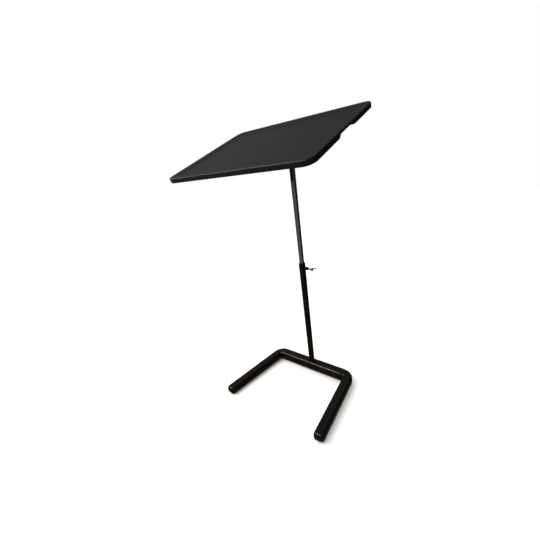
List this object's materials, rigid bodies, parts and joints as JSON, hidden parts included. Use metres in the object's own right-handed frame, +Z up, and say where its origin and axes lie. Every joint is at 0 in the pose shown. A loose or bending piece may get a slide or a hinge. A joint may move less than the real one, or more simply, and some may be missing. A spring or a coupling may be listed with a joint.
{
  "type": "lectern stand",
  "caption": "Reading stand with a dished tilting tray on a leaning telescopic column that rises from a U-shaped floor base, with a wing screw height clamp.",
  "frame": {"origin": "on the floor under the middle of the base's rear rail, at the centre of the centre pad's lower face", "axes": "+Z up, -Y towards the reader and along the legs, +X along the rail to the side of the clamp screw"},
  "size_m": [0.5, 0.3637, 0.995],
  "materials": {
    "black_paint": "satin black powder coat",
    "chrome": "polished chrome plate",
    "soft_black": "matt charcoal moulded plastic with a soft skin",
    "rubber": "matt",
    "nylon": "moulded",
    "friction": "fibre friction lining",
    "zinc_steel": "zinc plated"
  },
  "bodies": {
    "base": {"base_frame": "black_paint", "foot_pad_left_tip": "rubber", "foot_pad_right_tip": "rubber", "foot_pad_left_corner": "rubber", "foot_pad_right_corner": "rubber", "centre_pad": "rubber", "column_bolt": "zinc_steel", "column_washer": "zinc_steel", "column_foot_plug": "zinc_steel", "outer_column_tube": "black_paint", "guide_bush": "nylon", "clamp_boss": "black_paint"},
    "glide": {"glide_plug": "nylon"},
    "inner_column": {"inner_column_tube": "chrome", "column_head": "black_paint", "head_pin": "zinc_steel"},
    "tray": {"tray": "soft_black", "mounting_plate": "black_paint", "tilt_bracket": "black_paint", "friction_disc_left": "friction", "friction_disc_right": "friction", "pivot_bolt": "zinc_steel", "pivot_nut": "zinc_steel", "spring_washer": "zinc_steel", "bracket_screw_1": "zinc_steel", "bracket_screw_2": "zinc_steel", "bracket_screw_3": "zinc_steel", "bracket_screw_4": "zinc_steel", "plate_screw_1": "zinc_steel", "plate_screw_2": "zinc_steel", "plate_screw_3": "zinc_steel", "plate_screw_4": "zinc_steel", "plate_screw_5": "zinc_steel", "plate_screw_6": "zinc_steel"},
    "clamp_pad": {"clamp_pad": "nylon"},
    "clamp_screw": {"clamp_screw": "zinc_steel", "clamp_wing": "chrome"}
  },
  "joints": [
    {"name": "height_slide", "type": "slide", "parent": "base", "child": "glide", "axis": [0, -0.0663, 0.9978], "range_m": [-0.3, 0.06]},
    {"name": "column_swivel", "type": "hinge", "parent": "glide", "child": "inner_column", "pos_m": [0, 0, 0.048], "axis": [0, -0.0663, 0.9978], "continuous": true},
    {"name": "tray_tilt", "type": "hinge", "parent": "inner_column", "child": "tray", "pos_m": [0, -0.05872, 0.93205], "axis": [1, 0, 0], "range_deg": [-26, 14]},
    {"name": "clamp_pad_travel", "type": "slide", "parent": "base", "child": "clamp_pad", "axis": [1, 0, 0], "range_m": [0, 0.0008]},
    {"name": "clamp_turn", "type": "hinge", "parent": "clamp_pad", "child": "clamp_screw", "pos_m": [0, -0.03115, 0.51697], "axis": [1, 0, 0], "range_deg": [0, 270]}
  ],
  "couplings": [
    {"joint": "clamp_pad_travel", "follows": "clamp_turn", "m_per_rad": 0.00015915}
  ]
}
